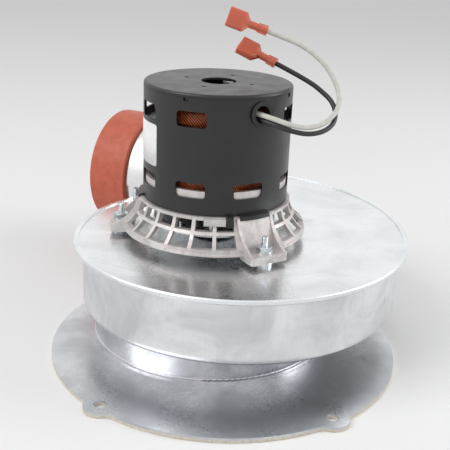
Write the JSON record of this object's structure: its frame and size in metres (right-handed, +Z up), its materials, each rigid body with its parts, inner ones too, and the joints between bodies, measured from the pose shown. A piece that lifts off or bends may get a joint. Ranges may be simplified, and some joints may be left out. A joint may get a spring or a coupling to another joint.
{
  "type": "combustion fan",
  "caption": "Motor-driven blower for a gas boiler: flanged bottom inlet, sheet-metal scroll, side outlet with a silicone sleeve, and a caged motor on top.",
  "frame": {"origin": "centre of the four flange holes, on the gasket's sealing face", "axes": "+Z up along the shaft towards the motor, +X to the right and +Y away when the two leads are at the front right and the outlet points back left"},
  "size_m": [0.2112, 0.2938, 0.1962],
  "materials": {
    "gasket_paper": "pale fibre sheet",
    "aluminised_sheet": "satin aluminised steel, lightly scratched",
    "silicone": "matt terracotta silicone",
    "zinc_steel": "bright zinc plate",
    "seal_rubber": "matt",
    "die_casting": "as cast, warm light grey",
    "black_shell": "semi-gloss black",
    "bearing_bronze": "sintered, oil-soaked",
    "core_steel": "stamped laminations",
    "copper_wire": "enamelled copper",
    "grommet_rubber": "matt black",
    "shaft_steel": "ground",
    "rotor_aluminium": "die cast",
    "washer_plastic": "nylon",
    "fan_aluminium": "pressed sheet, bright",
    "white_insulation": "smooth PVC",
    "black_insulation": "smooth PVC",
    "coral_nylon": "translucent coral nylon",
    "tinned_brass": "tin plated"
  },
  "bodies": {
    "housing": {"flange_gasket": "gasket_paper", "mounting_flange": "aluminised_sheet", "inlet_neck": "aluminised_sheet", "inlet_ring": "aluminised_sheet", "scroll_pan": "aluminised_sheet", "top_plate": "aluminised_sheet", "cutoff_plate": "aluminised_sheet", "outlet_hood": "aluminised_sheet", "outlet_collar": "aluminised_sheet", "outlet_sleeve": "silicone", "pressure_tap": "zinc_steel", "shaft_seal": "seal_rubber", "mounting_studs": "zinc_steel", "foot_spacers": "zinc_steel", "flange_nuts": "zinc_steel", "motor_cage": "die_casting", "motor_shell": "black_shell", "motor_top_cap": "black_shell", "bearing_bracket": "zinc_steel", "lower_bearing": "bearing_bronze", "upper_bearing": "bearing_bronze", "stator_core": "core_steel", "stator_windings": "copper_wire", "lead_grommet": "grommet_rubber", "lead_white": "white_insulation", "lead_black": "black_insulation", "white_terminal_cover": "coral_nylon", "black_terminal_cover": "coral_nylon", "white_receptacle": "tinned_brass", "black_receptacle": "tinned_brass"},
    "rotor": {"shaft": "shaft_steel", "rotor_core": "core_steel", "rotor_end_rings": "rotor_aluminium", "thrust_washers": "washer_plastic", "cooling_fan": "fan_aluminium", "wheel_ring": "aluminised_sheet", "wheel_backplate": "aluminised_sheet", "wheel_blades": "aluminised_sheet", "wheel_hub": "zinc_steel", "set_screw": "zinc_steel"}
  },
  "joints": [
    {"name": "rotor_spin", "type": "hinge", "parent": "housing", "child": "rotor", "pos_m": [-0.009, 0.0215, 0.1], "axis": [0, 0, 1], "continuous": true}
  ]
}
